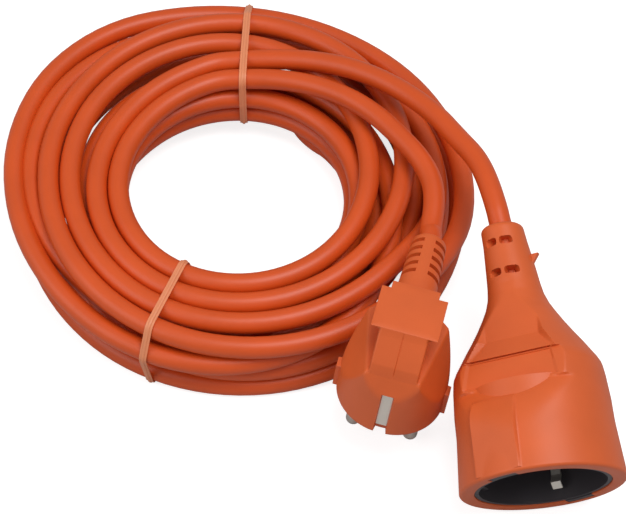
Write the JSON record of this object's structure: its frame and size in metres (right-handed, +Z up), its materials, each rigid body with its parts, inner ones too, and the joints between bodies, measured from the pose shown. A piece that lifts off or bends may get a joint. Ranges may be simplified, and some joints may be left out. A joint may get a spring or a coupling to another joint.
{
  "type": "extension cord",
  "caption": "Orange three-core extension cord wound into a flat ring, with an angled two-pin earthed plug and a round coupling with a sunk face.",
  "frame": {"origin": "middle of the wound ring, on the surface that it lies on", "axes": "+Z up, +X to the side where the plug and the coupling lie, +Y towards the rear tie"},
  "size_m": [0.2021, 0.206, 0.0591],
  "materials": {
    "housing": "moulded soft orange plastic, satin",
    "sheath": "extruded orange cord sheath, satin",
    "tie": "flat light orange plastic-coated wire tie",
    "insert": "black hard moulding",
    "disc": "hard orange moulding",
    "pin_metal": "nickel-plated brass",
    "strip_metal": "nickel-plated spring strip",
    "contact_metal": "pressed brass",
    "core_live": "brown core insulation",
    "core_neutral": "blue core insulation",
    "core_earth": "green and yellow core insulation"
  },
  "bodies": {
    "root": {"plug_body": "housing", "plug_face": "disc", "live_pin": "pin_metal", "neutral_pin": "pin_metal", "plug_earth_strap": "strip_metal", "plug_earth_sleeve": "strip_metal", "plug_live_crimp": "contact_metal", "plug_neutral_crimp": "contact_metal", "plug_earth_crimp": "contact_metal", "plug_live_core": "core_live", "plug_neutral_core": "core_neutral", "plug_earth_core": "core_earth", "coupling_body": "housing", "coupling_insert": "insert", "sunk_face": "insert", "contact_carrier": "insert", "live_contact": "contact_metal", "neutral_contact": "contact_metal", "coupling_earth_clip": "strip_metal", "coupling_live_crimp": "contact_metal", "coupling_neutral_crimp": "contact_metal", "coupling_earth_crimp": "contact_metal", "coupling_live_core": "core_live", "coupling_neutral_core": "core_neutral", "coupling_earth_core": "core_earth", "plug_lead": "sheath", "cable_coil": "sheath", "coupling_lead": "sheath", "rear_tie": "tie", "front_tie": "tie"}
  },
  "joints": []
}
